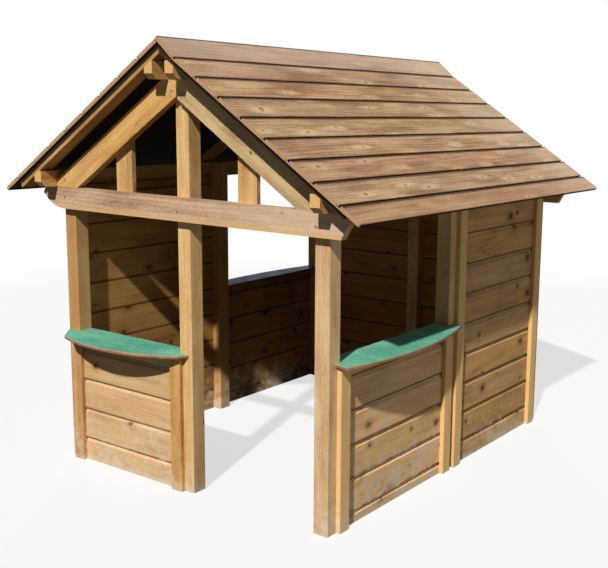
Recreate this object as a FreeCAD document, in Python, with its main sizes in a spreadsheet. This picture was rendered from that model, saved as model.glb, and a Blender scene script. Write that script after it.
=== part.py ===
import FreeCAD, Part
import Sketcher
import math
import os

# Wooden garden playhouse: eight square posts, two gable trusses, four purlins,
# a pitched boarded roof, shiplap wall panels on battens and three shop counters.
# Millimetres. X to the right, Y to the back, Z up; the floor is z = 0.
# The origin is on the floor under the middle of the overall size.

Vector = FreeCAD.Vector
Rotation = FreeCAD.Rotation
Placement = FreeCAD.Placement

doc = FreeCAD.newDocument("playhouse")
sheet = doc.addObject("Spreadsheet::Sheet", "sizes")

driving = [
    ("post_side", 70), ("post_arris", 4), ("width_over_posts", 1500),
    ("depth_over_posts", 1820), ("left_mid_shift", 37), ("king_post_above_beam", 535),
    ("side_post_above_beam", 70),
    ("beam_underside", 1166), ("beam_height", 97), ("beam_thickness", 34),
    ("beam_left_reach", 101), ("beam_curve_start", 39), ("beam_curve_rise", 66),
    ("beam_curve_radius", 181), ("beam_nose_run", 19), ("beam_nose_drop", 32),
    ("beam_right_reach", 75), ("beam_right_flare", 47), ("beam_cove_rise", 68),
    ("beam_cove_radius", 171),
    ("roof_pitch", 32.7), ("rafter_height", 98), ("rafter_heel", 32), ("apex_lap", 12),
    ("strut_width", 97), ("strut_thickness", 20), ("strut_inner_offset", 300),
    ("strut_above_beam_underside", 9), ("strut_drop", 30),
    ("purlin_width", 45), ("purlin_height", 70), ("purlin_overhang", 120),
    ("purlin_chamfer", 22), ("eave_purlin_edge", 53), ("ridge_purlin_edge", 47),
    ("slope_length", 1170), ("roof_overhang", 136),
    ("roof_board_thickness", 16), ("roof_board_width", 123.5), ("roof_board_gap", 10),
    ("roof_board_lap", 8), ("roof_board_arris", 3), ("eave_edge_round", 7), ("eave_corner_round", 12),
    ("roof_batten_thickness", 28), ("roof_batten_width", 64), ("roof_batten_setback", 21),
    ("roof_batten_inset", 82),
    ("wall_board_thickness", 20), ("board_exposure", 140), ("board_lap", 10),
    ("board_joint", 2), ("cove_height", 16), ("cove_depth", 8), ("cove_radius", 20),
    ("wall_batten_width", 62), ("wall_batten_thickness", 20), ("wall_batten_arris", 3),
    ("batten_lap", 17), ("wide_batten_lap", 37),
    ("front_low_joint", 107), ("right_low_joint", 50), ("left_low_joint", 50),
    ("tall_joint", 98),
    ("counter_thickness", 12),
    ("front_counter_top", 606), ("front_counter_reach", 152), ("front_counter_radius", 747),
    ("front_counter_apex", 389), ("front_counter_left_splay", 141),
    ("front_counter_right_inset", 18), ("front_counter_right_splay", 73),
    ("right_counter_top", 682), ("right_counter_reach", 124), ("right_counter_radius", 1469),
    ("right_counter_apex", 437), ("right_counter_inset", 40), ("right_counter_splay", 23),
    ("left_counter_top", 677), ("left_counter_reach", 55), ("left_counter_radius", 2545),
    ("left_counter_apex", 1293), ("left_counter_back_reach", 40),
]
derived = [
    ("half_width", "width_over_posts / 2"),
    ("front_plane", "(front_counter_reach - roof_overhang - depth_over_posts) / 2"),
    ("back_plane", "front_plane + depth_over_posts"),
    ("beam_top", "beam_underside + beam_height"),
    ("roof_skin", "(roof_board_thickness + roof_batten_thickness) / cos(roof_pitch)"),
    ("ridge_top", "beam_top + eave_purlin_edge + roof_skin"
                  " + (half_width + purlin_width) * tan(roof_pitch)"),
    ("ridge_seat", "ridge_top - roof_skin - ridge_purlin_edge"
                   " - (post_side / 2 + purlin_width) * tan(roof_pitch)"),
    ("rafter_peak", "beam_top + rafter_heel + half_width * tan(roof_pitch)"),
    ("rafter_depth", "rafter_height / cos(roof_pitch)"),
    ("right_mid_front", "front_plane + (depth_over_posts - post_side) / 2"),
    ("left_mid_front", "right_mid_front + left_mid_shift"),
    ("roof_front", "front_plane - roof_overhang"),
    ("roof_back", "back_plane + roof_overhang"),
    ("roof_length", "roof_back - roof_front"),
    ("roof_board_pitch", "roof_board_width + roof_board_gap"),
    ("ridge_board_pitch", "roof_pitch"
                          " + asin(roof_board_thickness / roof_board_width) / 1 deg"),
]
for row, (alias, value) in enumerate(driving, 1):
    sheet.set("A%d" % row, alias)
    sheet.set("B%d" % row, str(value))
    sheet.setAlias("B%d" % row, alias)
doc.recompute()
for row, (alias, formula) in enumerate(derived, len(driving) + 2):
    sheet.set("A%d" % row, alias)
    sheet.set("B%d" % row, "=" + formula)
    sheet.setAlias("B%d" % row, alias)
    doc.recompute()

aliases = sorted([a for a, _ in driving + derived], key=len, reverse=True)


def bound(text):
    words, word = [], ""
    for ch in text + " ":
        if ch.isalnum() or ch == "_":
            word += ch
        else:
            words.append("sizes." + word if word in aliases else word)
            words.append(ch)
            word = ""
    return "".join(words).strip()


def value(text):
    result = sheet.evalExpression(text)
    return float(getattr(result, "Value", result))


def bind(obj, prop, text):
    obj.setExpression(prop, bound(text))


def place(obj, x, y, z):
    for axis, text in zip("xyz", (x, y, z)):
        bind(obj, "Placement.Base." + axis, text)


def box(label, corner, size, turn=0):
    obj = doc.addObject("Part::Box", label)
    obj.Placement = Placement(Vector(0, 0, 0), Rotation(Vector(0, 0, 1), turn))
    for prop, text in zip(("Length", "Width", "Height"), size):
        bind(obj, prop, text)
    place(obj, *corner)
    return obj


facing = {
    "front": Rotation(Vector(1, 0, 0), 90),   # drawn as X, Z; grows to the front
    "plan": Rotation(),                       # drawn as X, Y; grows upwards
    "section": Rotation(90, 0, 90),           # drawn as Y, Z; grows along X
}


def bow_edge(start, end, radius, side):
    chord = end - start
    across = Vector(-chord.y, chord.x, 0).normalize() * side
    centre = (start + end) / 2 + across * math.sqrt(radius ** 2 - chord.Length ** 2 / 4)
    turns = [math.atan2(p.y - centre.y, p.x - centre.x) for p in (start, end)]
    return Part.ArcOfCircle(Part.Circle(centre, Vector(0, 0, 1), radius), *turns[::side])


def profile(label, plane, corner, points, length, turn=0):
    # a point with a radius and a side starts an arc; its centre is on the left (1) or
    # on the right (-1) of the way to the next point
    sketch = doc.addObject("Sketcher::SketchObject", label + "_outline")
    sketch.Placement = Placement(
        Vector(0, 0, 0), Rotation(Vector(0, 0, 1), turn) * facing[plane])
    place(sketch, *corner)
    spots = [Vector(value(point[0]), value(point[1]), 0) for point in points]
    spots.append(spots[0])
    heads = [2 if point[2:] and point[3] < 0 else 1 for point in points]
    for i, point in enumerate(points):
        if point[2:]:
            edge = bow_edge(spots[i], spots[i + 1], value(point[2]), point[3])
        else:
            edge = Part.LineSegment(spots[i], spots[i + 1])
        sketch.addGeometry(edge)
    for i, point in enumerate(points):
        after = (i + 1) % len(points)
        sketch.addConstraint(Sketcher.Constraint(
            "Coincident", i, 3 - heads[i], after, heads[after]))
        for kind, text in zip(("DistanceX", "DistanceY"), point):
            index = sketch.addConstraint(
                Sketcher.Constraint(kind, -1, 1, i, heads[i], value(text)))
            bind(sketch, "Constraints[%d]" % index, text)
        if point[2:]:
            index = sketch.addConstraint(Sketcher.Constraint("Radius", i, value(point[2])))
            bind(sketch, "Constraints[%d]" % index, point[2])
    solid = doc.addObject("Part::Extrusion", label)
    solid.Base = sketch
    solid.DirMode = "Normal"
    solid.Solid = True
    bind(solid, "LengthFwd", length)
    return solid


def cylinder(label, centre, radius, height):
    obj = doc.addObject("Part::Cylinder", label)
    bind(obj, "Radius", radius)
    bind(obj, "Height", height)
    place(obj, *centre)
    return obj


def boolean(kind, label, base, tool):
    obj = doc.addObject("Part::" + kind, label)
    obj.Base = base
    obj.Tool = tool
    return obj


def together(label, pieces):
    obj = doc.addObject("Part::Compound", label)
    obj.Links = pieces
    return obj


def mirrored(label, source, normal):
    obj = doc.addObject("Part::Mirroring", label)
    obj.Source = source
    obj.Base = Vector(0, 0, 0)
    obj.Normal = Vector(*normal)
    return obj


nodes = []


def node(obj, label):
    obj.Label = label
    nodes.append(obj)
    return obj


# ---- posts -------------------------------------------------------------------
side_top = "beam_top + side_post_above_beam"
king_top = "beam_top + king_post_above_beam"
post_places = [
    ("front_left_post", "-half_width", "front_plane", side_top),
    ("front_centre_post", "-post_side / 2", "front_plane", king_top),
    ("front_right_post", "half_width - post_side", "front_plane", side_top),
    ("left_mid_post", "-half_width", "left_mid_front", side_top),
    ("right_mid_post", "half_width - post_side", "right_mid_front", side_top),
    ("back_left_post", "-half_width", "back_plane - post_side", side_top),
    ("back_centre_post", "-post_side / 2", "back_plane - post_side", king_top),
    ("back_right_post", "half_width - post_side", "back_plane - post_side", side_top),
]
inset = "post_side - post_arris"
eased_square = [
    ("post_arris", "0"), (inset, "0", "post_arris", 1),
    ("post_side", "post_arris"), ("post_side", inset, "post_arris", 1),
    (inset, "post_side"), ("post_arris", "post_side", "post_arris", 1),
    ("0", inset), ("0", "post_arris", "post_arris", 1),
]
for label, x, y, top in post_places:
    node(profile(label + "_body", "plan", (x, y, "0"), eased_square, top), label)

# ---- gable trusses: tie beam, two rafters and two struts at each end ----------
slope = "tan(roof_pitch)"
ends = [("front", "front_plane", "front_plane"),
        ("back", "back_plane + beam_thickness", "back_plane - strut_thickness")]
for end, truss_face, strut_face in ends:
    # the left end is rounded up from underneath, the right end is hollowed to a lip
    node(profile(end + "_beam_body", "front", ("0", truss_face, "0"), [
        ("-half_width + beam_curve_start", "beam_underside"),
        ("half_width + beam_right_reach", "beam_underside", "beam_cove_radius", -1),
        ("half_width + beam_right_reach + beam_right_flare",
         "beam_underside + beam_cove_rise"),
        ("half_width + beam_right_reach + beam_right_flare", "beam_top"),
        ("-half_width - beam_left_reach + beam_nose_run", "beam_top"),
        ("-half_width - beam_left_reach", "beam_top - beam_nose_drop"),
        ("-half_width - beam_left_reach", "beam_underside + beam_curve_rise",
         "beam_curve_radius", 1),
    ], "beam_thickness"), end + "_tie_beam")

    low = "rafter_peak - rafter_depth"
    flat = "(rafter_peak - ridge_seat) / " + slope
    node(profile(end + "_left_rafter_body", "front", ("0", truss_face, "0"), [
        ("-half_width", "beam_top"),
        ("-(%s - beam_top) / %s" % (low, slope), "beam_top"),
        ("apex_lap", "%s + apex_lap * %s" % (low, slope)),
        ("apex_lap", "ridge_seat"),
        ("-" + flat, "ridge_seat"),
        ("-half_width", "beam_top + rafter_heel"),
    ], "beam_thickness"), end + "_left_rafter")
    node(profile(end + "_right_rafter_body", "front", ("0", truss_face, "0"), [
        ("half_width", "beam_top"),
        ("half_width", "beam_top + rafter_heel"),
        (flat, "ridge_seat"),
        ("apex_lap", "ridge_seat"),
        ("apex_lap", "%s - apex_lap * %s" % (low, slope)),
        ("(%s - beam_top) / %s" % (low, slope), "beam_top"),
    ], "beam_thickness"), end + "_right_rafter")

    for side, sign in (("left", "-1"), ("right", "1")):
        inner = "strut_inner_offset"
        outer = "(strut_inner_offset + strut_width)"
        top = "rafter_peak - strut_drop"
        node(profile("%s_%s_strut_body" % (end, side), "front",
                     ("0", strut_face + " + strut_thickness", "0"), [
            ("%s * %s" % (sign, inner), "beam_underside + strut_above_beam_underside"),
            ("%s * %s" % (sign, outer), "beam_underside + strut_above_beam_underside"),
            ("%s * %s" % (sign, outer), "%s - %s * %s" % (top, outer, slope)),
            ("%s * %s" % (sign, inner), "%s - %s * %s" % (top, inner, slope)),
        ], "strut_thickness"), "%s_%s_strut" % (end, side))

# ---- purlins, bevelled under the roof battens, their ends chamfered below --------
purlin_front = "front_plane - purlin_overhang"
purlin_back = "back_plane + purlin_overhang"
under_roof = profile("under_roof", "front", ("0", purlin_back, "0"), [
    ("-slope_length", "ridge_top - roof_skin - slope_length * " + slope),
    ("slope_length", "ridge_top - roof_skin - slope_length * " + slope),
    ("0", "ridge_top - roof_skin"),
], "%s - (%s)" % (purlin_back, purlin_front))
purlin_places = [
    ("left_ridge_purlin", "-post_side / 2 - purlin_width", "ridge_seat"),
    ("right_ridge_purlin", "post_side / 2", "ridge_seat"),
    ("left_eave_purlin", "-half_width - purlin_width", "beam_top"),
    ("right_eave_purlin", "half_width", "beam_top"),
]
for label, x, z in purlin_places:
    square = profile(label + "_square", "section", (x, "0", z), [
        (purlin_front + " + purlin_chamfer", "0"),
        (purlin_back + " - purlin_chamfer", "0"),
        (purlin_back, "purlin_chamfer"),
        (purlin_back, "purlin_height"),
        (purlin_front, "purlin_height"),
        (purlin_front, "purlin_chamfer"),
    ], "purlin_width")
    node(boolean("Common", label + "_bevelled", square, under_roof), label)

# ---- roof: each slope is laid out flat below its top surface, then tilted ---------
right_half = box("right_half", ("0", "roof_front", "0"),
                 ("slope_length", "roof_length", "2 * ridge_top"))


def tilted(label, pieces, pitch):
    obj = together(label, pieces)
    obj.Placement = Placement(Vector(0, 0, 0), Rotation(Vector(0, 1, 0), value(pitch)))
    bind(obj, "Placement.Rotation.Angle", pitch)
    bind(obj, "Placement.Base.z", "ridge_top")
    return obj


batten_rows = [
    ("front", "roof_front + roof_batten_setback"),
    ("middle", "(roof_front + roof_back - roof_batten_width) / 2"),
    ("back", "roof_back - roof_batten_setback - roof_batten_width"),
]
rows = [box("roof_batten_" + name,
            ("0", y, "-roof_board_thickness - roof_batten_thickness"),
            ("slope_length - roof_batten_inset", "roof_batten_width", "roof_batten_thickness"))
        for name, y in batten_rows]
right_battens = node(boolean("Common", "roof_battens_mitred",
                             tilted("roof_batten_rows", rows, "roof_pitch"), right_half),
                     "right_roof_battens")
node(mirrored("roof_battens_other", right_battens, (1, 0, 0)), "left_roof_battens")

# the boards are rebated: a lip at the upper edge lies under the board above, and a
# wide open groove shows between their faces
board_under = "-roof_board_thickness"
board_middle = "-roof_board_thickness / 2"
upper_edge = [("roof_board_arris", "0", "roof_board_arris", 1), ("0", "-roof_board_arris")]
lip = [
    ("0", board_middle + " - board_joint"),
    ("-roof_board_gap - roof_board_lap", board_middle + " - board_joint"),
    ("-roof_board_gap - roof_board_lap", board_under),
]
plain = [("0", board_under)]
lower_edge = [
    ("roof_board_width - roof_board_lap - board_joint", board_under),
    ("roof_board_width - roof_board_lap - board_joint", board_middle),
    ("roof_board_width", board_middle),
    ("roof_board_width", "-roof_board_arris", "roof_board_arris", 1),
    ("roof_board_width - roof_board_arris", "0"),
]


def roof_board(label, along, foot, edges, z="0"):
    return profile(label, "front", (along, "roof_back", z), edges + upper_edge + foot,
                   "roof_length")


board_steps = int(value("slope_length") // value("roof_board_pitch"))
rows = [roof_board("roof_board_%d" % (i + 1), "%d * roof_board_pitch" % i, lip, lower_edge)
        for i in range(1, board_steps)]
# the lowest board is ripped to what is left, with its outer edge and corners rounded
along = "%d * roof_board_pitch" % board_steps
width = "slope_length - %d * roof_board_pitch" % board_steps
eave_edge = roof_board("eave_board_section", along, lip, [
    (width + " - eave_edge_round", board_under, "eave_edge_round", 1),
    (width, board_under + " + eave_edge_round"),
    (width, "-roof_board_arris", "roof_board_arris", 1),
    (width + " - roof_board_arris", "0"),
])
upper_end = "-roof_board_gap - roof_board_lap"
eave_ends = profile("eave_board_plan", "plan", (along, "roof_front", board_under), [
    (upper_end, "0"),
    (width + " - eave_corner_round", "0", "eave_corner_round", 1),
    (width, "eave_corner_round"),
    (width, "roof_length - eave_corner_round", "eave_corner_round", 1),
    (width + " - eave_corner_round", "roof_length"),
    (upper_end, "roof_length"),
], "roof_board_thickness")
rows.append(boolean("Common", "eave_board", eave_edge, eave_ends))

top_board = roof_board("left_top_board", "0", plain, lower_edge)
left_slope = tilted("left_boards_flat", [top_board] + rows, "roof_pitch")
node(mirrored("roof_boards_left", left_slope, (1, 0, 0)), "left_roof_boards")
# the right slope's top board leans on the upper edge of the left slope's top board
ridge_board = roof_board("ridge_board", "0", plain, lower_edge, "roof_board_thickness")
node(together("roof_boards_right", [
    tilted("right_boards_flat", rows, "roof_pitch"),
    tilted("right_ridge_board", [ridge_board], "ridge_board_pitch"),
]), "right_roof_boards")

# ---- wall panels: shiplap boards between the posts, battens over their ends ------
t, lap = "wall_board_thickness", "board_lap"
half = "wall_board_thickness / 2"
board_head = "board_exposure - board_joint"
tongue_head = "board_exposure + board_lap - board_joint"
shiplap = [
    ("0", "0"),
    ("0", board_head + " - cove_height", "cove_radius", 1),
    ("cove_depth", board_head),
    (half + " + board_joint", board_head),
    (half + " + board_joint", tongue_head),
    (t, tongue_head),
    (t, lap),
    (half, lap),
    (half, "0"),
]
eased_batten = [
    ("wall_batten_arris", "0"),
    ("wall_batten_width - wall_batten_arris", "0", "wall_batten_arris", 1),
    ("wall_batten_width", "wall_batten_arris"),
    ("wall_batten_width", "wall_batten_thickness"),
    ("0", "wall_batten_thickness"),
    ("0", "wall_batten_arris", "wall_batten_arris", 1),
]
inside_front = "front_plane + post_side"
inside_back = "back_plane - post_side"
inner_width = "(half_width - post_side * 1.5)"
panels = [
    # label, turn, corner x, corner y, length, top, first joint, batten laps
    ("front_low", 0, "-half_width + post_side", "front_plane", inner_width,
     "front_counter_top - counter_thickness", "front_low_joint",
     "wide_batten_lap", "batten_lap"),
    ("right_low", 90, "half_width", inside_front, "right_mid_front - (%s)" % inside_front,
     "right_counter_top - counter_thickness", "right_low_joint",
     "batten_lap", "batten_lap"),
    ("right_tall", 90, "half_width", "right_mid_front + post_side",
     "%s - right_mid_front - post_side" % inside_back, "beam_top", "tall_joint",
     "batten_lap", "batten_lap"),
    ("left_tall", -90, "-half_width", "left_mid_front",
     "left_mid_front - (%s)" % inside_front, "beam_top", "tall_joint",
     "batten_lap", "batten_lap"),
    ("left_low", -90, "-half_width", inside_back,
     "%s - left_mid_front - post_side" % inside_back,
     "left_counter_top - counter_thickness", "left_low_joint",
     "batten_lap", "batten_lap"),
    ("back_right", 180, "half_width - post_side", "back_plane", inner_width,
     "beam_underside", "tall_joint", "batten_lap", "batten_lap"),
    ("back_left", 180, "-post_side / 2", "back_plane", inner_width,
     "beam_underside", "tall_joint", "batten_lap", "batten_lap"),
]
ways = {0: ("+ %s", "+ 0"), 90: ("+ 0", "+ %s"), -90: ("+ 0", "- %s"), 180: ("- %s", "+ 0")}
outward = {0: ("+ 0", "- %s"), 90: ("+ %s", "+ 0"), -90: ("- %s", "+ 0"), 180: ("+ 0", "+ %s")}


def shifted(x, y, turn, along, out):
    def add(text, form, amount):
        return text + " " + (form % ("(" + amount + ")") if "%" in form else form)
    x = add(add(x, ways[turn][0], along), outward[turn][0], out)
    y = add(add(y, ways[turn][1], along), outward[turn][1], out)
    return x, y


for label, turn, x, y, length, top, first, lap_one, lap_two in panels:
    count = int((value(top) - value(first)) // value("board_exposure")) + 2
    boards = []
    for i in range(count):
        z = "%s + %d * board_exposure" % (first, i - 1)
        boards.append(profile("%s_board_%d" % (label, i + 1), "section", (x, y, z),
                              shiplap, length, turn))
    limit = box(label + "_limit", (x, y, "0"), (length, t, top), turn)
    node(boolean("Common", label + "_trimmed", together(label + "_stack", boards), limit),
         label + "_boards")
    battens = []
    for name, along in (("first", "-(%s)" % lap_one),
                        ("second", "%s + %s - wall_batten_width" % (length, lap_two))):
        bx, by = shifted(x, y, turn, along, "wall_batten_thickness")
        battens.append(profile("%s_batten_%s" % (label, name), "plan", (bx, by, "0"),
                               eased_batten, top, turn))
    node(together(label + "_batten_pair", battens), label + "_battens")

# ---- shop counters over the three low walls --------------------------------------
def counter(name, top, inner_corner, inner_size, outline, centre, radius):
    z = top + " - counter_thickness"
    inner = box(name + "_inner", inner_corner + (z,), inner_size + ("counter_thickness",))
    outer = profile(name + "_outer", "plan", ("0", "0", z), outline, "counter_thickness")
    sweep = cylinder(name + "_sweep", centre + (z,), radius, "counter_thickness")
    curved = boolean("Common", name + "_curved", outer, sweep)
    whole = doc.addObject("Part::Fuse", name + "_joined")
    whole.Base = inner
    whole.Tool = curved
    whole.Refine = True
    return node(whole, name)


counter("front_counter", "front_counter_top",
        ("-half_width + post_side", "front_plane"), (inner_width, "post_side"),
        [("-half_width", "front_plane"),
         ("-half_width + 2 * front_counter_left_splay", "front_plane - 2 * front_counter_reach"),
         ("post_side / 2 - front_counter_right_inset - 2 * front_counter_right_splay",
          "front_plane - 2 * front_counter_reach"),
         ("post_side / 2 - front_counter_right_inset", "front_plane")],
        ("-front_counter_apex", "front_plane - front_counter_reach + front_counter_radius"),
        "front_counter_radius")
counter("right_counter", "right_counter_top",
        ("half_width - post_side", inside_front),
        ("post_side", "right_mid_front - (%s)" % inside_front),
        [("half_width", "front_plane + right_counter_inset"),
         ("half_width + 2 * right_counter_reach",
          "front_plane + right_counter_inset - 2 * right_counter_splay"),
         ("half_width + 2 * right_counter_reach", "right_mid_front + post_side - batten_lap"),
         ("half_width", "right_mid_front + post_side - batten_lap")],
        ("half_width + right_counter_reach - right_counter_radius",
         "front_plane + right_counter_apex"), "right_counter_radius")
counter("left_counter", "left_counter_top",
        ("-half_width", "left_mid_front + post_side"),
        ("post_side", "%s - left_mid_front - post_side" % inside_back),
        [("-half_width", "left_mid_front + batten_lap"),
         ("-half_width", "back_plane - post_side + left_counter_back_reach"),
         ("-half_width - 2 * left_counter_reach",
          "back_plane - post_side + left_counter_back_reach"),
         ("-half_width - 2 * left_counter_reach", "left_mid_front + batten_lap")],
        ("-half_width - left_counter_reach + left_counter_radius",
         "front_plane + left_counter_apex"), "left_counter_radius")

doc.recompute()
for obj in doc.Objects:
    if "Invalid" in obj.State or "Error" in obj.State:
        raise RuntimeError("%s is in error" % obj.Label)
os.makedirs("parts", exist_ok=True)
for obj in nodes:
    if obj.Shape.isNull() or not obj.Shape.isValid():
        raise RuntimeError("%s has no valid shape" % obj.Label)
    obj.Shape.exportStep("parts/%s.step" % obj.Label)
print("%d subcomponents" % len(nodes))
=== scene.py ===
import bpy, bmesh, math
from mathutils import Matrix, Vector


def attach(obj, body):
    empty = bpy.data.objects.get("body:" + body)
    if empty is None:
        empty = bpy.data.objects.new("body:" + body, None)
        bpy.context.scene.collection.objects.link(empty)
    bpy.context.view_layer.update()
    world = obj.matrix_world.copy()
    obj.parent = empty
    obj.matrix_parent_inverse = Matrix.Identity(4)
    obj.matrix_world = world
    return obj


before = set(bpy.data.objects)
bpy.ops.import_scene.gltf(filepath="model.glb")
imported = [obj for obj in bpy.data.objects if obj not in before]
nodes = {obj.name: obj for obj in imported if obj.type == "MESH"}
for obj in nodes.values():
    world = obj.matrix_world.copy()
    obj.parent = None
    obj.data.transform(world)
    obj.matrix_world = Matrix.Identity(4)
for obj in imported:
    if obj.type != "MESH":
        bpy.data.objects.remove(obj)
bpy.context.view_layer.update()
scene = bpy.context.scene
print("frame loaded:", len(nodes), "nodes")

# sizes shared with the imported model, in metres
house = {
    "frontPlane": -0.902, "backPlane": 0.918, "halfWidth": 0.75,
    "pitch": math.radians(32.7), "ridgeTop": 1.8787, "boardPitch": 0.1335,
    "exposure": 0.14, "tallJoint": 0.098, "frontJoint": 0.107, "lowJoint": 0.05,
    "counterTops": {"front": 0.606, "right": 0.682, "left": 0.677},
}


def rgb(r, g, b):
    # display values 0-255 to linear
    return tuple(((c / 255 + 0.055) / 1.055) ** 2.4 if c > 10 else c / 3294.6
                 for c in (r, g, b)) + (1.0,)


def put(tree, value, socket):
    if isinstance(value, bpy.types.NodeSocket):
        tree.links.new(value, socket)
    else:
        socket.default_value = value


def node(tree, kind, inputs=None, out=0, **settings):
    made = tree.nodes.new("ShaderNode" + kind)
    for key, value in settings.items():
        setattr(made, key, value)
    for key, value in (inputs or {}).items():
        put(tree, value, made.inputs[key])
    return made.outputs[out]


def calc(tree, operation, *values, clamp=False):
    return node(tree, "Math", dict(enumerate(values)), operation=operation, use_clamp=clamp)


def combine(tree, operation, first, second, out=0):
    return node(tree, "VectorMath", {0: first, 1: second}, out=out, operation=operation)


def ramp(tree, value, low, high, start=0.0, end=1.0):
    return node(tree, "MapRange", {"Value": value, "From Min": low, "From Max": high,
                                   "To Min": start, "To Max": end},
                interpolation_type="SMOOTHSTEP")


def noise(tree, spot, scale, detail, roughness=0.5):
    # a scale of three numbers draws the noise out along the axes
    if isinstance(scale, tuple):
        spot, scale = combine(tree, "MULTIPLY", spot, scale), 1.0
    return node(tree, "TexNoise", {"Vector": spot, "Scale": scale, "Detail": detail,
                                   "Roughness": roughness})


def blendColor(tree, factor, first, second, mode="MIX"):
    made = tree.nodes.new("ShaderNodeMix")
    made.data_type = "RGBA"
    made.blend_type = mode
    put(tree, factor, made.inputs[0])
    put(tree, first, made.inputs[6])
    put(tree, second, made.inputs[7])
    return made.outputs[2]


number, colour, vector = "NodeSocketFloat", "NodeSocketColor", "NodeSocketVector"


def group(name, inputs, outputs):
    tree = bpy.data.node_groups.new(name, "ShaderNodeTree")
    for label, kind, default in inputs:
        socket = tree.interface.new_socket(name=label, in_out="INPUT", socket_type=kind)
        if default is not None:
            socket.default_value = default
    for label, kind in outputs:
        tree.interface.new_socket(name=label, in_out="OUTPUT", socket_type=kind)
    return tree, tree.nodes.new("NodeGroupInput").outputs, tree.nodes.new("NodeGroupOutput").inputs


def useGroup(tree, which, inputs):
    made = tree.nodes.new("ShaderNodeGroup")
    made.node_tree = which
    for key, value in inputs.items():
        put(tree, value, made.inputs[key])
    return made.outputs


# sawn softwood: X of the vector runs along the grain and Y across it
sawn = {
    "seedShift": (3.17, 1.31),  # how far each step of the seed moves the pattern
    "knotCells": (3.1, 7.4),  # cells in a metre, along and across, with a knot or none in each
    "knotSpread": (0.8, 0.5),  # how much the knots differ in size, and the least
    "knot": (0.010, 0.003), "knotFlat": 0.7, "knotRough": 0.012, "knotDepth": 0.85,
    "rim": 0.026,  # darker wood round the knot
    "halo": (0.036, 0.012), "haloFlat": 0.26, "haloRough": 0.02,
    "bend": 0.055, "bendFlat": 0.35, "bendAmount": 0.8,  # rings that pass round the knot
    "crackLevel": 0.56, "crack": (0.016, 0.003), "crackStretch": (0.5, 0.62),
    # how much of each noise shows: from, to, and the depth it starts and ends with
    "specks": (0.32, 0.68), "fibres": (0.35, 0.72, 0.0, 0.2),
    "streaks": (0.36, 0.7, 0.0, 0.42), "patches": (0.32, 0.68, 0.0, 0.5),
    "roughness": (0.25, 0.6), "fibreHeight": 0.6, "ringHeight": 0.3,
    # noises: scale on each axis, detail and roughness
    "edge": ((30.0, 70.0, 1.0), 2.0, 0.5),
    "wander": ((0.9, 6.5, 0.0), 1.5, 0.45),
    "fibre": ((7.0, 300.0, 0.0), 3.0, 0.6),
    "streak": ((2.2, 34.0, 0.0), 3.0, 0.55),
    "broad": ((3.2, 9.0, 0.0), 2.0, 0.5),
    "speck": ((48.0, 115.0, 0.0), 3.0, 0.65),
    "course": ((2.6, 30.0, 0.0), 2.0, 0.6),
}


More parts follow.
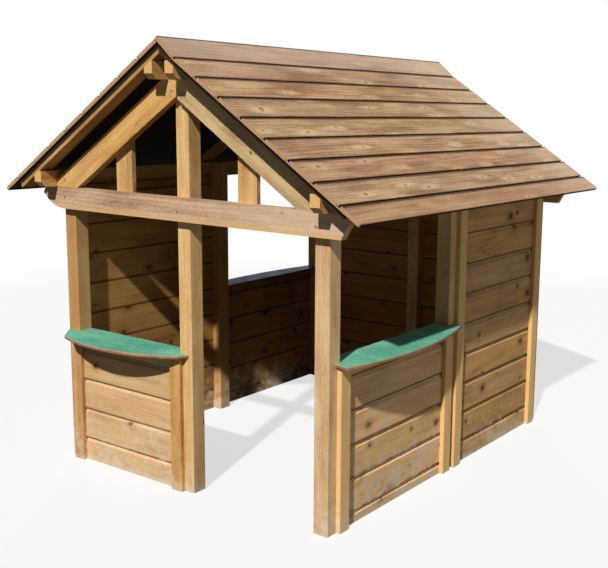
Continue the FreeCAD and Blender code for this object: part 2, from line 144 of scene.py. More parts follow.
def grainGroup():
    t, given, result = group(
        "timberGrain",
        [("Vector", vector, None), ("Seed", number, 0.0), ("Light", colour, (1, 1, 1, 1)),
         ("Dark", colour, (0, 0, 0, 1)), ("Knot", colour, (0, 0, 0, 1)),
         ("Halo", colour, (1, 1, 1, 1)), ("Rings", number, 90.0), ("Contrast", number, 0.6),
         ("Wave", number, 2.0), ("Knots", number, 0.5), ("Halo Amount", number, 0.5),
         ("Knot Size", number, 1.0), ("Ring Dark", number, 0.0), ("Ring Lines", number, 0.2),
         ("Speckle", number, 0.34), ("Cracks", number, 0.5)],
        [("Color", colour), ("Roughness", number), ("Height", number)])
    shiftX, shiftY = (calc(t, "MULTIPLY", given["Seed"], step) for step in sawn["seedShift"])
    shift = node(t, "CombineXYZ", {0: shiftX, 1: shiftY, 2: 0.0})
    spot = combine(t, "ADD", given["Vector"], shift)
    edge, wander, fibre, streak, broad, speck, course = (
        noise(t, spot, *sawn[key])
        for key in ("edge", "wander", "fibre", "streak", "broad", "speck", "course"))

    # knots: one spot in each cell, of which the chosen ones show
    along, across = sawn["knotCells"]
    cellSpot = combine(t, "MULTIPLY", spot, (along, across, 0.0))
    cells = t.nodes.new("ShaderNodeTexVoronoi")
    cells.voronoi_dimensions = "2D"
    put(t, cellSpot, cells.inputs["Vector"])
    cells.inputs["Scale"].default_value = 1.0
    pick = t.nodes.new("ShaderNodeSeparateColor")
    put(t, cells.outputs["Color"], pick.inputs[0])
    chosen = calc(t, "GREATER_THAN", given["Knots"], pick.outputs[0])
    away = combine(t, "SUBTRACT", cellSpot, cells.outputs["Position"])
    away = combine(t, "MULTIPLY", away, (1 / along, 1 / across, 0))
    acrossKnot = node(t, "SeparateXYZ", {0: away}, out=1)

    def fromKnot(flatten):
        flat = combine(t, "MULTIPLY", away, (flatten, 1, 0))
        return node(t, "VectorMath", {0: flat}, out=1, operation="LENGTH")

    def mask(distance, outer, shadeInsideMask):
        return calc(t, "MULTIPLY", chosen, ramp(t, distance, outer, shadeInsideMask))

    size = calc(t, "MULTIPLY", calc(t, "MULTIPLY_ADD", pick.outputs[1], *sawn["knotSpread"]),
                given["Knot Size"])
    rough = calc(t, "MULTIPLY_ADD", edge, sawn["knotRough"], fromKnot(sawn["knotFlat"]))
    core = calc(t, "DIVIDE", calc(t, "SUBTRACT", rough, sawn["knotRough"] / 2), size)
    knot = mask(core, *sawn["knot"])
    rim = mask(core, sawn["rim"], 0.0)
    halo = mask(calc(t, "MULTIPLY_ADD", edge, sawn["haloRough"], fromKnot(sawn["haloFlat"])),
                *sawn["halo"])
    bend = mask(fromKnot(sawn["bendFlat"]), sawn["bend"], 0.0)

    # year rings, which wander and bend round the knots
    place = calc(t, "SUBTRACT", node(t, "SeparateXYZ", {0: spot}, out=1),
                 calc(t, "MULTIPLY", calc(t, "MULTIPLY", acrossKnot, bend),
                      sawn["bendAmount"]))
    field = calc(t, "ADD", calc(t, "MULTIPLY", place, given["Rings"]),
                 calc(t, "MULTIPLY", wander, given["Wave"]))
    ringWave = calc(t, "SINE", calc(t, "MULTIPLY", field, 2 * math.pi))
    ring = calc(t, "POWER", calc(t, "MULTIPLY_ADD", ringWave, 0.5, 0.5), 2.0)

    specks = calc(t, "MULTIPLY", ramp(t, speck, *sawn["specks"]), given["Speckle"])
    lines = calc(t, "ADD", calc(t, "MULTIPLY_ADD", ring, given["Ring Lines"], specks),
                 ramp(t, fibre, *sawn["fibres"]))
    bands = calc(t, "ADD", ramp(t, streak, *sawn["streaks"]),
                 ramp(t, broad, *sawn["patches"]))
    darkness = calc(t, "MULTIPLY", given["Contrast"], calc(t, "ADD", lines, bands), clamp=True)
    tone = blendColor(t, darkness, given["Light"], given["Dark"])
    tone = blendColor(t, calc(t, "MULTIPLY", halo, given["Halo Amount"]), tone, given["Halo"])

    # fine drying cracks run along the grain, in some stretches only
    offCourse = calc(t, "ABSOLUTE", calc(t, "SUBTRACT", course, sawn["crackLevel"]))
    crack = calc(t, "MULTIPLY", ramp(t, offCourse, *sawn["crack"]),
                 ramp(t, broad, *sawn["crackStretch"]))
    tone = blendColor(t, calc(t, "MULTIPLY", crack, given["Cracks"]), tone, given["Knot"])
    tone = blendColor(t, calc(t, "MULTIPLY", rim, given["Ring Dark"]), tone, given["Dark"])
    tone = blendColor(t, calc(t, "MULTIPLY", knot, sawn["knotDepth"]), tone, given["Knot"])
    put(t, tone, result["Color"])
    put(t, calc(t, "MULTIPLY_ADD", fibre, *sawn["roughness"]), result["Roughness"])
    put(t, calc(t, "SUBTRACT", calc(t, "MULTIPLY", fibre, sawn["fibreHeight"]),
                calc(t, "MULTIPLY", ring, sawn["ringHeight"])), result["Height"])
    return t


# sawn ends: curved rings round a heart that lies off the timber
sawnEnd = {"heart": (0, 0.31, 0.17), "rings": 1500.0, "wobbleScale": 40.0, "wobble": 6.0,
           "depth": 0.22, "middle": 0.3}


def endGroup():
    t, given, result = group(
        "endGrain", [("Vector", vector, None), ("Light", colour, (1, 1, 1, 1)),
                     ("Dark", colour, (0, 0, 0, 1))], [("Color", colour)])
    flat = combine(t, "MULTIPLY", given["Vector"], (0, 1, 1))
    fromHeart = combine(t, "DISTANCE", flat, sawnEnd["heart"], out=1)
    wobble = calc(t, "MULTIPLY", noise(t, given["Vector"], sawnEnd["wobbleScale"], 3.0),
                  sawnEnd["wobble"])
    wave = calc(t, "SINE", calc(t, "MULTIPLY_ADD", fromHeart, sawnEnd["rings"], wobble))
    depth = calc(t, "MULTIPLY_ADD", wave, sawnEnd["depth"], sawnEnd["middle"])
    put(t, blendColor(t, depth, given["Light"], given["Dark"]), result["Color"])
    return t


# pale dust: patches that thin out upwards, and a closed line at the feet
dusty = {
    "patch": (21.0, 6.0, 0.72), "stretch": (1.0, 1.0, 1.1), "broad": (3.1, 1.0),
    "broadAmount": 0.5, "cover": (0.52, 0.76), "clear": 0.02, "lowAmount": 0.12,
    "fade": 0.45, "footHeight": 0.045, "footPatch": (0.3, 0.55),
}


def dustGroup():
    t, given, result = group(
        "paleDust", [("Vector", vector, None), ("Reach", number, 0.25),
                     ("Amount", number, 0.6)], [("Mask", number)])
    height = node(t, "SeparateXYZ", {0: given["Vector"]}, out=2)
    patch = noise(t, combine(t, "MULTIPLY", given["Vector"], dusty["stretch"]),
                  *dusty["patch"])
    broad = noise(t, given["Vector"], *dusty["broad"])
    low = node(t, "MapRange", {"Value": height, "From Min": dusty["clear"],
                               "From Max": given["Reach"], "To Min": 1.0, "To Max": 0.0})
    cover = calc(t, "ADD", patch, calc(t, "MULTIPLY_ADD", broad, dusty["broadAmount"],
                                       -dusty["broadAmount"] / 2))
    cover = ramp(t, calc(t, "MULTIPLY_ADD", low, dusty["lowAmount"], cover), *dusty["cover"])
    cover = calc(t, "MULTIPLY", cover, calc(t, "POWER", low, dusty["fade"]))
    foot = calc(t, "MULTIPLY", ramp(t, height, dusty["footHeight"], 0.0),
                ramp(t, patch, *dusty["footPatch"]))
    put(t, calc(t, "MULTIPLY", calc(t, "MAXIMUM", cover, foot), given["Amount"], clamp=True),
        result["Mask"])
    return t


# pale and dark weathering in broad soft patches drawn out along the grain
aged = {"Pale": ((2.4, 11.0, 0.0), 0.48, 0.76), "Dark": ((1.6, 7.0, 0.0), 0.52, 0.78),
        "apart": (5.0, 3.0, 8.0), "seedShift": 2.3, "detail": 4.0, "roughness": 0.6}


def weatherGroup():
    t, given, result = group("weathering", [("Vector", vector, None), ("Seed", number, 0.0)],
                             [("Pale", number), ("Dark", number)])
    shift = node(t, "CombineXYZ", {0: calc(t, "MULTIPLY", given["Seed"], aged["seedShift"]),
                                   1: given["Seed"], 2: 0.0})
    moved = combine(t, "ADD", given["Vector"], shift)
    for label in ("Pale", "Dark"):
        scale, low, high = aged[label]
        soft = noise(t, moved, scale, aged["detail"], aged["roughness"])
        put(t, ramp(t, soft, low, high), result[label])
        moved = combine(t, "ADD", moved, aged["apart"])
    return t


# painted shade: faces inside the house and under the eaves, and faces that look down, are darkened
shadeInsideLimits = {"margin": 0.008, "eaves": 1.3, "facingDown": -0.5}


def shadeInsideGroup():
    t, given, result = group("paintedShadeInside", [("Vector", vector, None),
                                                ("Normal", vector, None)],
                             [("Mask", number)])
    x, y, z = (node(t, "SeparateXYZ", {0: given["Vector"]}, out=i) for i in range(3))
    middle = (house["frontPlane"] + house["backPlane"]) / 2
    fromMiddle = calc(t, "ABSOLUTE", calc(t, "SUBTRACT", y, middle))
    within = calc(t, "LESS_THAN", calc(t, "ABSOLUTE", x),
                  house["halfWidth"] - shadeInsideLimits["margin"])
    within = calc(t, "MULTIPLY", within, calc(
        t, "LESS_THAN", fromMiddle, middle - house["frontPlane"] - shadeInsideLimits["margin"]))
    within = calc(t, "MULTIPLY", within, calc(t, "LESS_THAN", z, shadeInsideLimits["eaves"]))
    under = calc(t, "LESS_THAN", node(t, "SeparateXYZ", {0: given["Normal"]}, out=2),
                 shadeInsideLimits["facingDown"])
    put(t, calc(t, "MAXIMUM", within, under), result["Mask"])
    return t


def boardsAndJointShadeGroup(full=0.6):
    # counts the boards, and masks the start of each with painted shade, as in the groove of the
    # joint: full on that share
    t, given, result = group(
        "boardsAndJointShade", [("Place", number, 0.0), ("Start", number, 0.0), ("Pitch", number, 0.14),
                      ("Width", number, 0.008)], [("Board", number), ("Mask", number)])
    count = calc(t, "DIVIDE", calc(t, "SUBTRACT", given["Place"], given["Start"]),
                 given["Pitch"])
    put(t, calc(t, "FLOOR", count), result["Board"])
    inside = calc(t, "MULTIPLY", calc(t, "FRACT", count), given["Pitch"])
    put(t, node(t, "MapRange", {"Value": inside,
                                "From Min": calc(t, "MULTIPLY", given["Width"], full),
                                "From Max": given["Width"], "To Min": 1.0, "To Max": 0.0}),
        result["Mask"])
    return t


timberGrain, endGrain, paleDust = grainGroup(), endGroup(), dustGroup()
weathering, paintedShadeInside, boardsAndJointShade = weatherGroup(), shadeInsideGroup(), boardsAndJointShadeGroup()
print("shader groups built:", len(bpy.data.node_groups))


def newMaterial(name):
    material = bpy.data.materials.new(name)
    material.use_nodes = True
    return material, material.node_tree, material.node_tree.nodes["Principled BSDF"]


def grainSpace(tree, along, tilt=0.0):
    # coordinates turned so that X runs along the grain, and the axes that they come from
    place = node(tree, "TexCoord", out=3)
    if tilt:
        place = node(tree, "VectorRotate", {"Vector": place, "Angle": tilt},
                     rotation_type="Y_AXIS")
    split = tree.nodes.new("ShaderNodeSeparateXYZ")
    put(tree, place, split.inputs[0])
    x, y, z = split.outputs
    order = {"x": (x, z, y), "y": (y, z, x), "z": (z, x, y), "slopeY": (y, x, z)}[along]
    if along != "slopeY":
        order = (order[0], calc(tree, "ADD", order[1], order[2]), order[2])
    return node(tree, "CombineXYZ", dict(enumerate(order))), {"x": x, "y": y, "z": z}


# what all timber shares
timberLook = {
    "darkPatches": 0.25, "bump": 0.25, "bumpDepth": 0.001, "shine": 0.2,
    "saturation": (0.93, 1.06), "bandEdge": 0.02, "endFacing": (0.6, 0.75),
    # how many pieces stand in a metre, and what each adds to the seed
    "columns": (2.9, 5.3), "rows": (2.3, 3.1),
    # painted shade tones: inside the house, along the board joints and in the gaps between roof
    # boards
    "shadeInsideTone": (222, 210, 182), "jointShadeTone": (34, 22, 14), "gapShadeTone": (44, 28, 18),
    "dustTone": (232, 214, 188),
}


def timber(name, along, tones, tilt=0.0, seed=0.0, rings=90.0, ringLines=0.2, ringDark=0.0,
           contrast=0.72, wave=2.5, speckle=0.34, cracks=0.3, knots=0.5, knotSize=1.0,
           halo=0.35, pale=0.3, vary=0.1, hue=0.003, bands=(), apart=False, boards=None,
           jointWidth=0.008, jointShade=0.8, gapShadeBelow=None, shadeInside=1.0, dust=0.0, dustReach=0.3):
    look = timberLook
    material, tree, shader = newMaterial(name)
    where, axes = grainSpace(tree, along, tilt)
    place = node(tree, "TexCoord", out=3)
    normal = node(tree, "NewGeometry", out=1)
    light, deep, knot, bleached, end = (rgb(*tone) for tone in tones)
    pieceSeed = seed
    if boards:
        axis, pitch, start = boards
        joint = useGroup(tree, boardsAndJointShade, {"Place": axes[axis], "Start": start,
                                           "Pitch": pitch, "Width": jointWidth})
        pieceSeed = calc(tree, "ADD", joint["Board"], seed)
    if apart:
        # each piece of the node gets its own grain and tone from where it stands
        columns = calc(tree, "FLOOR", calc(tree, "MULTIPLY_ADD", axes["x"],
                                           look["columns"][0], 0.5))
        rows = calc(tree, "FLOOR", calc(tree, "MULTIPLY_ADD", axes["y"],
                                        look["rows"][0], 0.5))
        pieceSeed = calc(tree, "ADD", seed, calc(
            tree, "MULTIPLY_ADD", columns, look["columns"][1],
            calc(tree, "MULTIPLY", rows, look["rows"][1])))
    grain = useGroup(tree, timberGrain, {
        "Vector": where, "Seed": pieceSeed, "Light": light, "Dark": deep, "Knot": knot,
        "Halo": bleached, "Rings": rings, "Contrast": contrast, "Wave": wave,
        "Knots": knots, "Halo Amount": halo, "Knot Size": knotSize, "Ring Dark": ringDark,
        "Ring Lines": ringLines, "Speckle": speckle, "Cracks": cracks})
    age = useGroup(tree, weathering, {"Vector": where, "Seed": pieceSeed})
    tone = grain["Color"]
    if boards or apart:
        luck = node(tree, "TexWhiteNoise", {"W": pieceSeed}, noise_dimensions="1D")

        def drawn(times, low, high):
            # another draw from the same luck, between low and high
            value = calc(tree, "FRACT", calc(tree, "MULTIPLY", luck, times)) if times else luck
            return node(tree, "MapRange", {"Value": value, "To Min": low, "To Max": high})

        tone = node(tree, "HueSaturation", {
            "Hue": drawn(7.0, 0.5 - hue, 0.5 + hue),
            "Saturation": drawn(13.0, *look["saturation"]),
            "Value": drawn(None, 1 - vary, 1 + vary), "Color": tone})
    tone = blendColor(tree, calc(tree, "MULTIPLY", age["Pale"], pale), tone, bleached)
    tone = blendColor(tree, calc(tree, "MULTIPLY", age["Dark"], look["darkPatches"]), tone,
                      deep)
    for axis, low, high, shade, amount in bands:
        soft = calc(tree, "MULTIPLY_ADD", age["Pale"], look["bandEdge"], axes[axis])
        tone = blendColor(tree, calc(tree, "MULTIPLY", ramp(tree, soft, low, high), amount),
                          tone, rgb(*shade))
    # painted shade inside the house and on faces that look down, laid on as a darker multiply
    shadeInsideMask = useGroup(tree, paintedShadeInside, {"Vector": place, "Normal": normal})["Mask"]
    tone = blendColor(tree, calc(tree, "MULTIPLY", shadeInsideMask, shadeInside), tone,
                      rgb(*look["shadeInsideTone"]), mode="MULTIPLY")
    if boards:
        # painted shade along the joint at the start of each board
        tone = blendColor(tree, calc(tree, "MULTIPLY", joint["Mask"], jointShade), tone,
                          rgb(*look["jointShadeTone"]))
    if gapShadeBelow:
        # painted shade: the lips between the roof boards lie below the tops and are darkened
        tone = blendColor(tree, calc(tree, "LESS_THAN", axes["z"], gapShadeBelow), tone,
                          rgb(*look["gapShadeTone"]))
    grainLine = {"x": (math.cos(tilt), 0, math.sin(tilt)), "y": (0, 1, 0), "z": (0, 0, 1),
                 "slopeY": (0, 1, 0)}[along]
    facing = calc(tree, "ABSOLUTE", combine(tree, "DOT_PRODUCT", normal, grainLine, out=1))
    ends = useGroup(tree, endGrain, {"Vector": where, "Light": end, "Dark": light})
    tone = blendColor(tree, ramp(tree, facing, *look["endFacing"]), tone, ends["Color"])
    rough = grain["Roughness"]
    if dust:
        mask = useGroup(tree, paleDust, {"Vector": place, "Reach": dustReach,
                                         "Amount": dust})["Mask"]
        tone = blendColor(tree, mask, tone, rgb(*look["dustTone"]))
        rough = calc(tree, "MAXIMUM", rough, mask)
    put(tree, tone, shader.inputs["Base Color"])
    put(tree, rough, shader.inputs["Roughness"])
    shader.inputs["Specular IOR Level"].default_value = look["shine"]
    put(tree, node(tree, "Bump", {"Height": grain["Height"], "Strength": look["bump"],
                                  "Distance": look["bumpDepth"]}), shader.inputs["Normal"])
    return material


# light, dark, knot, bleached and sawn end, as seen on a screen
tones = {
    "frame": ((248, 201, 126), (176, 123, 62), (92, 54, 26), (232, 205, 160), (222, 176, 122)),
    "post": ((255, 222, 166), (206, 154, 98), (92, 54, 26), (244, 220, 180), (222, 176, 122)),
    "grey": ((238, 208, 158), (166, 132, 90), (92, 54, 26), (232, 205, 160), (222, 176, 122)),
    "batten": ((230, 184, 120), (162, 110, 60), (72, 42, 22), (226, 200, 158),
               (214, 172, 118)),
    "beam": ((238, 202, 168), (146, 106, 80), (84, 52, 34), (222, 194, 160), (196, 144, 96)),
    "roof": ((218, 180, 140), (144, 106, 77), (122, 86, 60), (222, 192, 150), (176, 136, 96)),
    "wall": ((236, 196, 146), (174, 122, 76), (72, 42, 22), (226, 200, 158), (214, 172, 118)),
    "sideWall": ((222, 178, 118), (138, 94, 50), (62, 36, 20), (222, 186, 132),
                 (214, 172, 118)),
    # the low right boards are paler, partly for dust and partly as painted light for the brighter
    # light low on that side
    "lowWall": ((255, 212, 152), (184, 126, 70), (64, 38, 22), (234, 204, 156),
                (214, 172, 118)),
    # painted shade: dark tones for the right roof battens, which lie in the shade of the roof
    # boards
    "shade": ((72, 52, 36), (48, 34, 24), (32, 22, 16), (84, 64, 46), (96, 74, 50)),
}
pitch, ridge = house["pitch"], house["ridgeTop"]
ground = {"dust": 0.75, "dustReach": 0.2}
# a band is an axis, where it starts and is full, its colour and its amount
finish = {
    "post": timber("postPine", "z", tones["post"], knots=0.25, wave=1.2, shadeInside=0.0,
                   apart=True, bands=(("x", -0.6, -0.7, (180, 128, 68), 0.72),), **ground),
    "bar": timber("beamPine", "x", tones["beam"], knots=0.3, seed=4.0, rings=50, wave=2.0,
                  ringDark=0.4, bands=(("x", 0.0, 0.7, (234, 206, 174), 0.5),
                                       ("z", 1.2, 1.172, (226, 180, 120), 0.75))),
    "leftRafter": timber("leftRafterPine", "x", tones["frame"], tilt=pitch, seed=2.0),
    "rightRafter": timber("rightRafterPine", "x", tones["grey"], tilt=-pitch, seed=7.0),
    "strut": timber("strutPine", "z", tones["frame"], seed=9.0, knots=0.25, apart=True),
    "purlin": timber("purlinPine", "y", tones["frame"], seed=11.0, knots=0.25),
    # painted shade: the roof battens take darker tones than the rest of the frame, the right ones
    # much darker
    "leftBatten": timber("leftRoofBattenPine", "x", tones["sideWall"], tilt=pitch, seed=13.0),
    "rightBatten": timber("rightRoofBattenPine", "x", tones["shade"], tilt=-pitch, seed=15.0),
    # painted light: the battens on the right side are made lighter, for the brighter light that
    # falls low on that side
    "batten": timber("battenPine", "z", tones["batten"], seed=17.0, knots=0.2, wave=1.2,
                     apart=True, bands=(("x", 0.55, 0.7, (255, 214, 148), 0.65),), **ground),
}
for side, turn, down in (("left", pitch, -1), ("right", -pitch, 1)):
    start = -down * ridge * math.sin(pitch)  # the ridge, on the X that is turned to the slope
    finish[side + "Roof"] = timber(
        side + "RoofPine", "slopeY", tones["roof"], tilt=turn, seed=20.0, rings=55,
        ringLines=0.34, contrast=0.86, wave=5.0, knots=0.74, halo=0.75, pale=0.5, vary=0.09,
        hue=0.008, boards=("x", house["boardPitch"], start), jointWidth=0.015,
        jointShade=0.85, gapShadeBelow=ridge * math.cos(pitch) - 0.004,
        bands=(("x", start + down * 0.2, start + down * 0.06, (214, 190, 170), 0.48),
               ("x", start + down * 1.02, start + down * 1.1, (176, 134, 102), 0.4),
               ("y", 0.3, 1.05, (226, 206, 178), 0.4)))
# boarded walls: grain direction, height of the first joint, tones and what is their own
walls = {
    "frontLow": ("x", house["frontJoint"], "wall", dict(
        seed=31.0, dustReach=0.4, jointWidth=0.006, jointShade=0.55, cracks=0.0, pale=0.7)),
    "rightLow": ("y", house["lowJoint"], "lowWall", dict(
        seed=43.0, dustReach=0.44, jointWidth=0.009, jointShade=0.8, cracks=0.3)),
    "leftLow": ("y", house["lowJoint"], "sideWall", dict(
        seed=57.0, dustReach=0.3, jointWidth=0.009, jointShade=0.8, cracks=0.6)),
    "sideTall": ("y", house["tallJoint"], "sideWall", dict(
        seed=71.0, dustReach=0.22, jointWidth=0.009, jointShade=0.8, cracks=0.75)),
    "back": ("x", house["tallJoint"], "sideWall", dict(
        seed=89.0, dustReach=0.24, jointWidth=0.009, jointShade=0.8, cracks=0.75)),
}
for label, (along, start, look, own) in walls.items():
    finish[label] = timber(label + "Pine", along, tones[look], rings=60, ringDark=0.75,
                           contrast=0.5, wave=3.5, speckle=0.3, knots=0.6, knotSize=1.7,
                           boards=("z", house["exposure"], start), dust=0.85, **own)

# paint on the counters: worn in clouds, scuffed along the board, with grit in the scratches
paintLook = {
    # noises: scale, detail and roughness
    "cloud": (7.0, 6.0, 0.7), "scuff": ((9.0, 60.0, 60.0), 5.0, 0.7),
    "grit": (38.0, 4.0, 0.75),
    # how much of each noise shows: from, to, and the depth it starts and ends with
    "clouds": (0.4, 0.7), "scuffs": (0.54, 0.68, 0.0, 0.5), "specks": (0.58, 0.7, 0.0, 0.7),
    "roughness": (0.3, 0.7, 0.5, 0.75),
    "scuffTone": (186, 208, 190), "gritTone": (226, 220, 200), "arrisHighlightTone": (228, 204, 186),
    # the bare edge, and the painted highlight along the arris: where it starts and is full below
    # the top, and its depth
    "edgeDark": (116, 70, 48), "edgeKnot": (70, 40, 26), "edgeRings": 70.0,
    "edgeContrast": 0.6, "edgeKnots": 0.2, "arrisHighlight": (0.0045, 0.0015, 0.65),
    "flat": 0.6, "bump": 0.15, "bumpDepth": 0.001, "shine": 0.2,
}


def painted(name, along, paint, worn, edge, seed, top):
    look = paintLook
    material, tree, shader = newMaterial(name)
    where, axes = grainSpace(tree, along)
    place = node(tree, "TexCoord", out=3)
    bare = useGroup(tree, timberGrain, {
        "Vector": where, "Seed": seed, "Light": rgb(*edge), "Dark": rgb(*look["edgeDark"]),
        "Knot": rgb(*look["edgeKnot"]), "Halo": rgb(*edge), "Rings": look["edgeRings"],
        "Contrast": look["edgeContrast"], "Knots": look["edgeKnots"]})
    cloud = noise(tree, place, *look["cloud"])
    scuff = noise(tree, where, *look["scuff"])
    grit = noise(tree, place, *look["grit"])
    tone = blendColor(tree, ramp(tree, cloud, *look["clouds"]), rgb(*paint), rgb(*worn))
    tone = blendColor(tree, ramp(tree, scuff, *look["scuffs"]), tone, rgb(*look["scuffTone"]))
    tone = blendColor(tree, ramp(tree, grit, *look["specks"]), tone, rgb(*look["gritTone"]))
    # only the flat faces are painted: the sawn edge is bare, with a pale painted highlight along
    # the arris at the top
    facing = node(tree, "SeparateXYZ", {0: node(tree, "NewGeometry", out=1)}, out=2)
    flat = calc(tree, "GREATER_THAN", calc(tree, "ABSOLUTE", facing), look["flat"])
    low, high, amount = look["arrisHighlight"]
    arrisHighlight = ramp(tree, axes["z"], top - low, top - high, 0.0, amount)
    side = blendColor(tree, arrisHighlight, bare["Color"], rgb(*look["arrisHighlightTone"]))
    put(tree, blendColor(tree, flat, side, tone), shader.inputs["Base Color"])
    put(tree, ramp(tree, cloud, *look["roughness"]), shader.inputs["Roughness"])
    shader.inputs["Specular IOR Level"].default_value = look["shine"]
    put(tree, node(tree, "Bump", {"Height": calc(tree, "ADD", bare["Height"], grit),
                                  "Strength": look["bump"], "Distance": look["bumpDepth"]}),
        shader.inputs["Normal"])
    return material


tops = house["counterTops"]
# paint, worn paint and bare edge, as seen on a screen
greens = (88, 172, 144), (124, 198, 170), (196, 136, 106)
blues = (66, 96, 142), (104, 134, 172), (160, 110, 84)
finish["green"] = painted("greenPaint", "x", *greens, seed=3.0, top=tops["front"])
finish["greenSide"] = painted("greenPaintSide", "y", *greens, seed=5.0, top=tops["right"])
finish["blue"] = painted("bluePaint", "y", *blues, seed=8.0, top=tops["left"])

wear = {
    "front_counter": "green", "right_counter": "greenSide", "left_counter": "blue",
    "front_low_boards": "frontLow", "right_low_boards": "rightLow",
    "left_low_boards": "leftLow", "left_tall_boards": "sideTall",
    "right_tall_boards": "sideTall", "back_left_boards": "back", "back_right_boards": "back",
    "left_roof_boards": "leftRoof", "right_roof_boards": "rightRoof",
    "left_roof_battens": "leftBatten", "right_roof_battens": "rightBatten",
}
endings = (("_post", "post"), ("_tie_beam", "bar"), ("left_rafter", "leftRafter"),
           ("right_rafter", "rightRafter"), ("_strut", "strut"), ("_purlin", "purlin"),
           ("_battens", "batten"))
for name, piece in nodes.items():
    key = wear.get(name) or next(value for ending, value in endings if name.endswith(ending))
    piece.data.materials.clear()
    piece.data.materials.append(finish[key])
print("materials set:", len(finish))


def makeObject(name, data):
    made = bpy.data.objects.new(name, data)
    scene.collection.objects.link(made)
    return made


# screw heads: one on each point, turned to the face that it holds, recess outwards
screws = {
    "seed": 5, "turn": 6.283, "sides": 14, "beamHead": 0.007, "boardHead": 0.0045, "rise": 0.3,
    "beamFace": 0.034, "counterInset": 0.018, "weld": 0.00001,
    # rim, dome, flat and recess: the push out of the last face, and how far it is drawn in
    "steps": ((0.55, 1.0), (0.45, 0.72), (0.0, 0.6), (-0.7, 0.9)),
    "gable": ((-0.706, 1.219), (0.0, 1.21), (0.711, 1.207),
              (-0.7, 1.296), (0.7, 1.296), (-0.019, 1.687)),
    "front": (-0.69, -0.568, -0.36, -0.156, -0.04),
    "right": (-0.82, -0.62, -0.42, -0.22, -0.02),
    "left": (-0.76, -0.5, -0.24, -0.02),
    "zinc": ((196, 188, 176), (120, 84, 58)), "pale": ((178, 172, 160), (120, 86, 60)),
}


def screwTree():
    tree = bpy.data.node_groups.new("screwHeads", "GeometryNodeTree")
    face = tree.interface
    face.new_socket(name="Geometry", in_out="INPUT", socket_type="NodeSocketGeometry")
    for label, kind, value in (("Head Radius", "NodeSocketFloat", 0.005),
                               ("Head Rise", "NodeSocketFloat", 0.0015),
                               ("Sides", "NodeSocketInt", 14), ("Seed", "NodeSocketInt", 0),
                               ("Finish", "NodeSocketMaterial", None)):
        socket = face.new_socket(name=label, in_out="INPUT", socket_type=kind)
        if value is not None:
            socket.default_value = value
    face.new_socket(name="Geometry", in_out="OUTPUT", socket_type="NodeSocketGeometry")
    given = tree.nodes.new("NodeGroupInput").outputs

    def step(kind, inputs=None, out=0, **settings):
        made = tree.nodes.new(kind)
        for key, value in settings.items():
            setattr(made, key, value)
        for key, value in (inputs or {}).items():
            put(tree, value, made.inputs[key])
        return made.outputs[out]

    disc = step("GeometryNodeMeshCircle", {"Vertices": given["Sides"],
                                           "Radius": given["Head Radius"]}, fill_type="NGON")
    shape, top = disc, None
    for push, draw in screws["steps"]:
        grow = tree.nodes.new("GeometryNodeExtrudeMesh")
        put(tree, shape, grow.inputs["Mesh"])
        if top is not None:
            put(tree, top, grow.inputs["Selection"])
        put(tree, step("ShaderNodeMath", {0: given["Head Rise"], 1: push},
                       operation="MULTIPLY"), grow.inputs["Offset Scale"])
        top = grow.outputs["Top"]
        shape = step("GeometryNodeScaleElements", {"Geometry": grow.outputs["Mesh"],
                                                   "Selection": top, "Scale": draw})
    # the disc itself, turned over, closes the head from below
    under = step("GeometryNodeFlipFaces", {"Mesh": disc})
    both = tree.nodes.new("GeometryNodeJoinGeometry")
    for part in (shape, under):
        tree.links.new(part, both.inputs[0])
    shape = step("GeometryNodeMergeByDistance", {"Geometry": both.outputs[0],
                                                 "Distance": screws["weld"]})
    spin = step("FunctionNodeRandomValue", {2: 0.0, 3: screws["turn"], "Seed": given["Seed"]},
                out=1, data_type="FLOAT")
    way = step("GeometryNodeInputNamedAttribute", {"Name": "facing"},
               data_type="FLOAT_VECTOR")
    turn = step("FunctionNodeAlignRotationToVector", {"Vector": way}, axis="Z")
    turn = step("FunctionNodeRotateRotation", {0: turn, 1: step(
        "ShaderNodeCombineXYZ", {2: spin})}, rotation_space="LOCAL")
    spread = step("GeometryNodeInstanceOnPoints", {"Points": given["Geometry"],
                                                   "Instance": shape, "Rotation": turn})
    joined = step("GeometryNodeRealizeInstances", {"Geometry": spread})
    ended = step("GeometryNodeSetMaterial", {"Geometry": joined, "Material": given["Finish"]})
    put(tree, ended, tree.nodes.new("NodeGroupOutput").inputs[0])
    return tree


screwHeads = screwTree()


# rust in fine spots; the pairs hold for bare metal and for rust
rustLook = {"spots": (260.0, 3.0), "cover": (0.45, 0.65),
            "Metallic": (0.8, 0.1), "Roughness": (0.42, 0.8)}


def metal(name, light, rust):
    material, tree, shader = newMaterial(name)
    place = node(tree, "TexCoord", out=3)
    rusty = ramp(tree, noise(tree, place, *rustLook["spots"]), *rustLook["cover"])
    put(tree, blendColor(tree, rusty, rgb(*light), rgb(*rust)), shader.inputs["Base Color"])
    for key in ("Metallic", "Roughness"):
        put(tree, ramp(tree, rusty, 0.0, 1.0, *rustLook[key]), shader.inputs[key])
    return material


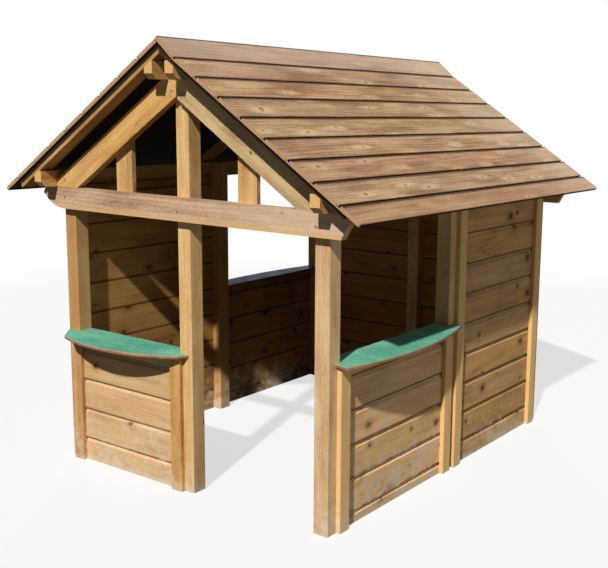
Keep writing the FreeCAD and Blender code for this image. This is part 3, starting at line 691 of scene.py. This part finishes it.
def screwSet(name, radius, look, points):
    mesh = bpy.data.meshes.new(name + "Points")
    mesh.from_pydata([spot for spot, way in points], [], [])
    facing = mesh.attributes.new("facing", "FLOAT_VECTOR", "POINT")
    for slot, (spot, way) in enumerate(points):
        facing.data[slot].vector = way
    made = makeObject(name, mesh)
    modifier = made.modifiers.new("heads", "NODES")
    modifier.node_group = screwHeads
    given = {"Head Radius": radius, "Head Rise": radius * screws["rise"],
             "Sides": screws["sides"], "Seed": screws["seed"], "Finish": look}
    for item in screwHeads.interface.items_tree:
        if item.in_out == "INPUT" and item.name in given:
            modifier[item.identifier] = given[item.name]
    bpy.context.view_layer.update()
    ready = made.evaluated_get(bpy.context.evaluated_depsgraph_get())
    heads = bpy.data.meshes.new_from_object(ready)
    made.modifiers.remove(modifier)
    made.data = heads
    made.data.name = name
    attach(made, "root")
    print(name + ":", len(points), "heads,", len(heads.polygons), "faces")


front, back, wide = house["frontPlane"], house["backPlane"], house["halfWidth"]
proud, inset, up = screws["beamFace"], screws["counterInset"], (0, 0, 1)
beamSpots = [((x, y, z), way) for y, way in ((front - proud, (0, -1, 0)),
                                             (back + proud, (0, 1, 0)))
             for x, z in screws["gable"]]
screwSet("beam_screws", screws["beamHead"], metal("zincScrews", *screws["zinc"]), beamSpots)
counterSpots = [((x, front + inset, tops["front"]), up) for x in screws["front"]]
counterSpots += [((wide - inset, y, tops["right"]), up) for y in screws["right"]]
counterSpots += [((-wide + inset, y, tops["left"]), up) for y in screws["left"]]
screwSet("counter_screws", screws["boardHead"], metal("paleScrews", *screws["pale"]),
         counterSpots)

# floor, sky and lamps
studio = {
    "floorSize": 60, "paper": 0.86, "paperBounce": 0.16, "shadow": 0.3, "fade": (2.2, 6.0),
    "sky": 0.035,  # what the white sky gives to the object
    "key": 3.8, "keyFrom": (0.34, -1.0, 1.01), "keySpread": 1.6,
    "side": 0.39, "sideFrom": (1.0, 0.35, 0.12), "sideSpread": 20.0,
    "back": 2.5, "backFrom": (-0.62, 0.78, 0.09), "backSpread": 12.0,
}


def studioPaper():
    # the paper is white to the camera, apart from the shadow, and duller to the object
    material, tree, shader = newMaterial("studioPaper")
    shader.inputs["Roughness"].default_value = 1.0
    shader.inputs["Specular IOR Level"].default_value = 0.0
    seen = node(tree, "LightPath")
    paper = calc(tree, "MULTIPLY_ADD", seen, studio["paper"] - studio["paperBounce"],
                 studio["paperBounce"])
    put(tree, node(tree, "CombineColor", {0: paper, 1: paper, 2: paper}),
        shader.inputs["Base Color"])
    away = node(tree, "VectorMath", {0: node(tree, "TexCoord", out=3)}, out=1,
                operation="LENGTH")
    white = calc(tree, "MAXIMUM", ramp(tree, away, *studio["fade"]), 1 - studio["shadow"])
    shine = tree.nodes.new("ShaderNodeEmission")
    blend = tree.nodes.new("ShaderNodeMixShader")
    put(tree, calc(tree, "MULTIPLY", white, seen), blend.inputs[0])
    put(tree, shader.outputs[0], blend.inputs[1])
    put(tree, shine.outputs[0], blend.inputs[2])
    put(tree, blend.outputs[0], tree.nodes["Material Output"].inputs[0])
    return material


mesh = bpy.data.meshes.new("studioFloor")
bm = bmesh.new()
bmesh.ops.create_grid(bm, x_segments=2, y_segments=2, size=studio["floorSize"])
bm.to_mesh(mesh)
bm.free()
floor = makeObject("studioFloor", mesh)
floor.data.materials.append(studioPaper())

world = bpy.data.worlds.new("studioSky")
scene.world = world
world.use_nodes = True
tree = world.node_tree
sky = tree.nodes["Background"]
path = tree.nodes.new("ShaderNodeLightPath").outputs
seen = calc(tree, "ADD", calc(tree, "ADD", path["Is Camera Ray"], path["Is Glossy Ray"]),
            path["Is Transmission Ray"], clamp=True)
put(tree, calc(tree, "MULTIPLY_ADD", seen, 1 - studio["sky"], studio["sky"]),
    sky.inputs["Strength"])
sky.inputs["Color"].default_value = (1, 1, 1, 1)


def lamp(name, kind, tint, gloss=True):
    # a far lamp that shines from the direction the studio gives for it
    data = bpy.data.lights.new(name, "SUN")
    data.energy, data.color = studio[kind], tint
    data.angle = math.radians(studio[kind + "Spread"])
    made = makeObject(name, data)
    made.rotation_euler = Vector(studio[kind + "From"]).to_track_quat("Z", "Y").to_euler()
    made.location = Vector(studio[kind + "From"]) * 4
    made.visible_glossy = gloss


lamp("keyLight", "key", (1.0, 0.97, 0.92))
lamp("sideLight", "side", (1.0, 0.93, 0.84), gloss=False)
lamp("backLight", "back", (1.0, 0.98, 0.95), gloss=False)

# where the photograph was taken: place in metres, angles in degrees, the rest in its pixels
lens = {"place": (2.8536, -3.6623, 1.641), "yaw": 34.15, "pitch": 9.94, "roll": 1.08,
        "focal": 960.6, "centre": (382.1, 274.4), "width": 608, "height": 568}
data = bpy.data.cameras.new("photoCamera")
data.sensor_fit = "HORIZONTAL"
data.sensor_width = 36.0
data.lens = lens["focal"] * data.sensor_width / lens["width"]
data.shift_x = 0.5 - lens["centre"][0] / lens["width"]
data.shift_y = (lens["centre"][1] - lens["height"] / 2) / lens["width"]
data.clip_end = 200
camera = makeObject("photoCamera", data)
yaw, down, roll = (math.radians(lens[k]) for k in ("yaw", "pitch", "roll"))
ahead = Vector((-math.sin(yaw) * math.cos(down), math.cos(yaw) * math.cos(down),
                -math.sin(down)))
right = Vector((math.cos(yaw), math.sin(yaw), 0))
above = right.cross(ahead)
right, above = (right * math.cos(roll) + above * math.sin(roll),
                above * math.cos(roll) - right * math.sin(roll))
turn = Matrix((right, above, -ahead)).transposed().to_4x4()
camera.matrix_world = Matrix.Translation(lens["place"]) @ turn
scene.camera = camera
scene.render.resolution_x, scene.render.resolution_y = lens["width"], lens["height"]
scene.view_settings.view_transform = "Standard"
print("light and camera set")
